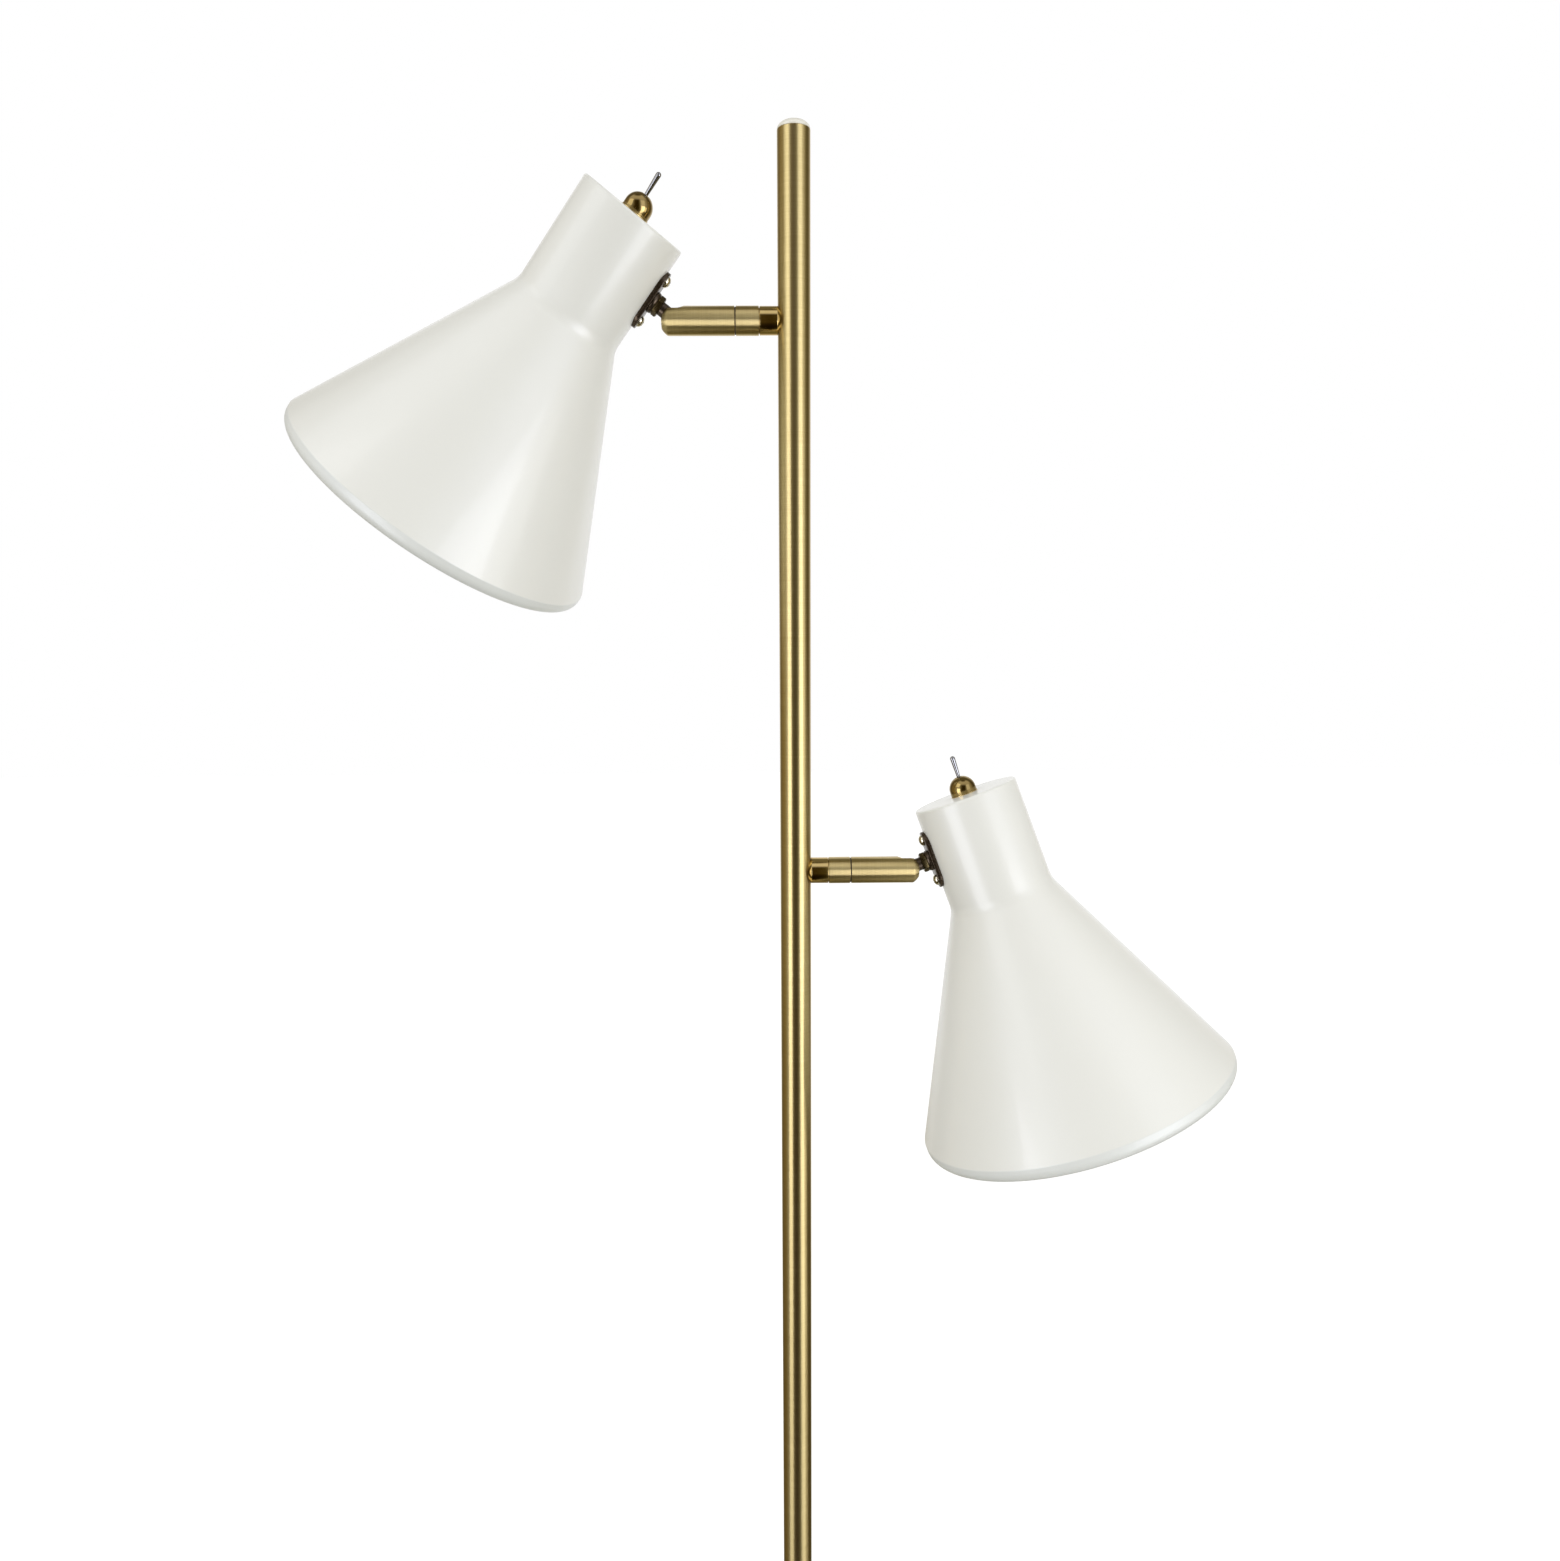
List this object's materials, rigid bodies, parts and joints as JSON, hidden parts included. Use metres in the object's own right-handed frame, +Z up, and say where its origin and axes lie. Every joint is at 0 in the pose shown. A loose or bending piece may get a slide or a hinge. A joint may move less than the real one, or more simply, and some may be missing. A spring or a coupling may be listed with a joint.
{
  "type": "floor lamp",
  "caption": "Free-standing floor lamp: slim brass pole on a round weighted foot, with side arms that carry cone shades on slotted ball swivels, each with a toggle switch.",
  "frame": {"origin": "on the floor at the pole's axis, under the middle of the round foot", "axes": "+Z up along the pole, +X along the lower (right) arm, -X along the upper (left) arm, +Y to the back, where the cord inlet is"},
  "size_m": [0.4734, 0.2425, 1.4994],
  "materials": {
    "brushed_brass": "antique brass, brushed round the tube, clear lacquer",
    "polished_brass": "polished brass, warm",
    "raw_brass": "plain machined brass",
    "dark_bronze": "dark oil-rubbed bronze",
    "olive_brass": "dark olive brass, machined",
    "bright_screw": "bright plated steel",
    "zinc_steel": "zinc-plated steel",
    "spring_steel": "hardened spring steel",
    "chrome": "polished chrome",
    "white_enamel": "off-white gloss enamel on spun metal",
    "ivory_gloss": "glossy ivory plastic cap",
    "cast_weight": "rough cast iron, black",
    "black_felt": "dense black foam rubber",
    "black_plastic": "black moulded thermoset",
    "lead_sheath": "black sheathed lead",
    "pale_lead": "pale single-core leads",
    "friction_fibre": "dark fibre washer",
    "opal_glass": "opal white glass",
    "bulb_cap_metal": "bright aluminium screw cap"
  },
  "bodies": {
    "stand": {"pole_cap": "ivory_gloss", "upper_pole": "brushed_brass", "lower_pole": "brushed_brass", "pole_coupler": "raw_brass", "pole_leads": "lead_sheath", "pole_inserts": "zinc_steel", "arm_nipples": "raw_brass", "friction_washers": "friction_fibre", "barrel_nuts": "raw_brass", "foot_collar": "brushed_brass", "foot_plug": "raw_brass", "foot_nipple": "zinc_steel", "foot_nut": "zinc_steel", "foot_cover": "brushed_brass", "foot_weight": "cast_weight", "foot_pad": "black_felt", "cord_gland": "black_plastic", "left_arm_base": "polished_brass", "left_arm_ring": "brushed_brass", "right_arm_base": "polished_brass", "right_arm_ring": "brushed_brass"},
    "left_arm": {"left_barrel": "brushed_brass", "left_disc_springs": "spring_steel", "left_ball_seat": "raw_brass"},
    "left_stem": {"left_ball_stem": "dark_bronze", "left_stem_nut": "olive_brass", "left_lock_nut": "raw_brass"},
    "left_head": {"left_stem_collar": "dark_bronze", "left_side_plate": "dark_bronze", "left_plate_screws": "bright_screw", "left_shade": "white_enamel", "left_toggle_body": "black_plastic", "left_toggle_washer": "raw_brass", "left_toggle_nut": "polished_brass", "left_holder_bracket": "zinc_steel", "left_lampholder": "black_plastic", "left_bulb": "opal_glass", "left_bulb_cap": "bulb_cap_metal", "left_head_leads": "pale_lead"},
    "left_lever": {"left_toggle_lever": "chrome"},
    "right_arm": {"right_barrel": "brushed_brass", "right_disc_springs": "spring_steel", "right_ball_seat": "raw_brass"},
    "right_stem": {"right_ball_stem": "dark_bronze", "right_stem_nut": "olive_brass", "right_lock_nut": "raw_brass"},
    "right_head": {"right_stem_collar": "dark_bronze", "right_side_plate": "dark_bronze", "right_plate_screws": "bright_screw", "right_shade": "white_enamel", "right_toggle_body": "black_plastic", "right_toggle_washer": "raw_brass", "right_toggle_nut": "polished_brass", "right_holder_bracket": "zinc_steel", "right_lampholder": "black_plastic", "right_bulb": "opal_glass", "right_bulb_cap": "bulb_cap_metal", "right_head_leads": "pale_lead"},
    "right_lever": {"right_toggle_lever": "chrome"}
  },
  "joints": [
    {"name": "left_barrel_spin", "type": "hinge", "parent": "stand", "child": "left_arm", "pos_m": [-0.0575, 0, 1.4085], "axis": [-1, 0, 0], "range_deg": [-79, 101]},
    {"name": "left_stem_tilt", "type": "hinge", "parent": "left_arm", "child": "left_stem", "pos_m": [-0.0575, 0, 1.4085], "axis": [0, 0.9816, 0.1908], "range_deg": [-38, 37]},
    {"name": "left_head_twist", "type": "hinge", "parent": "left_stem", "child": "left_head", "pos_m": [-0.0575, 0, 1.4085], "axis": [-0.788, -0.1175, 0.6043], "range_deg": [-58, 62]},
    {"name": "left_lever_rock", "type": "hinge", "parent": "left_head", "child": "left_lever", "pos_m": [-0.07235, -0.01083, 1.45852], "axis": [-0.788, -0.1175, 0.6043], "range_deg": [0, 20]},
    {"name": "right_barrel_spin", "type": "hinge", "parent": "stand", "child": "right_arm", "pos_m": [0.0575, 0, 1.134], "axis": [1, 0, 0], "range_deg": [-78, 102]},
    {"name": "right_stem_tilt", "type": "hinge", "parent": "right_arm", "child": "right_stem", "pos_m": [0.0575, 0, 1.134], "axis": [0, -0.9781, 0.2079], "range_deg": [-20, 55]},
    {"name": "right_head_twist", "type": "hinge", "parent": "right_stem", "child": "right_head", "pos_m": [0.0575, 0, 1.134], "axis": [0.9397, 0.0711, 0.3345], "range_deg": [-64, 56]},
    {"name": "right_lever_rock", "type": "hinge", "parent": "right_head", "child": "right_lever", "pos_m": [0.08745, 0.00702, 1.17751], "axis": [0.9397, 0.0711, 0.3345], "range_deg": [-20, 0]}
  ]
}
